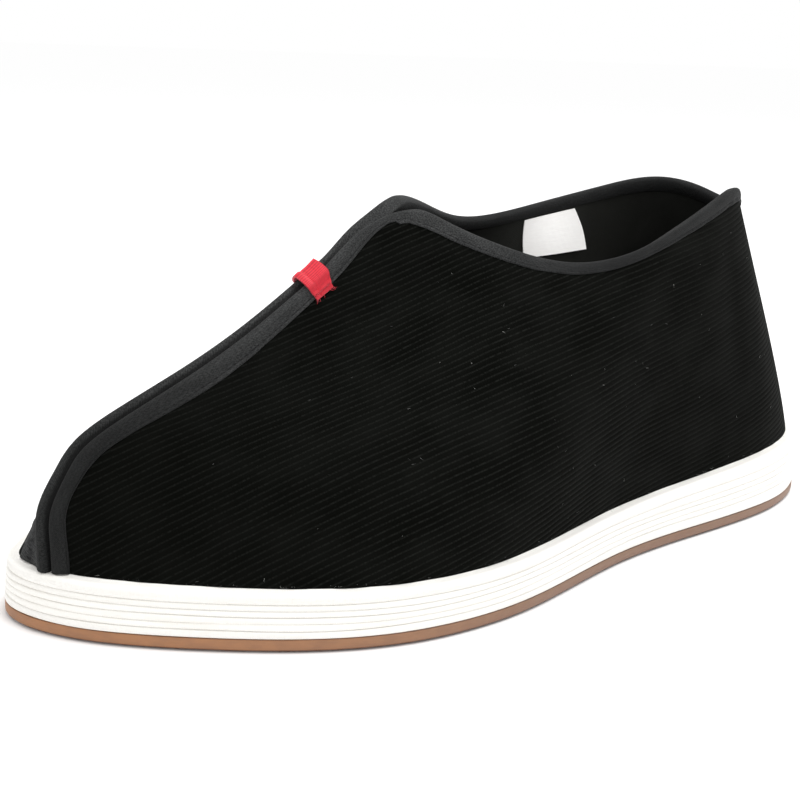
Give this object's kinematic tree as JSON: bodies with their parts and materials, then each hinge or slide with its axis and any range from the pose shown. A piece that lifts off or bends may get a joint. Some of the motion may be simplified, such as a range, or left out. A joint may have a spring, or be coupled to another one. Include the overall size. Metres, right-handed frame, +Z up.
{
  "type": "cloth slip-on shoe",
  "caption": "Low cloth slip-on shoe for the left foot, with a layered cloth sole on a thin rubber outsole, and a two-piece corduroy upper joined in a bound ridge over the toe.",
  "frame": {"origin": "centre of the shoe's box on the floor, under the sole", "axes": "+X runs from the heel to the toe, +Y to the outer side of the left foot, +Z up"},
  "size_m": [0.285, 0.1098, 0.1075],
  "materials": {
    "brown_rubber": "matt brown rubber sheet with a rounded edge",
    "white_cloth": "stacked layers of off-white cloth with taped edges",
    "black_lining": "plain black cotton lining",
    "black_corduroy": "black fine-wale corduroy velvet, wales running along the shoe",
    "black_twill": "black twill tape, stitched near its edge",
    "red_ribbon": "red satin ribbon with slightly frayed ends",
    "white_label": "bare white woven label"
  },
  "bodies": {
    "root": {"outsole": "brown_rubber", "midsole": "white_cloth", "insole": "black_lining", "upper": "black_corduroy", "ridge_binding_outer": "black_twill", "ridge_binding_inner": "black_twill", "collar_binding": "black_twill", "front_tab": "red_ribbon", "size_label": "white_label"}
  },
  "joints": []
}
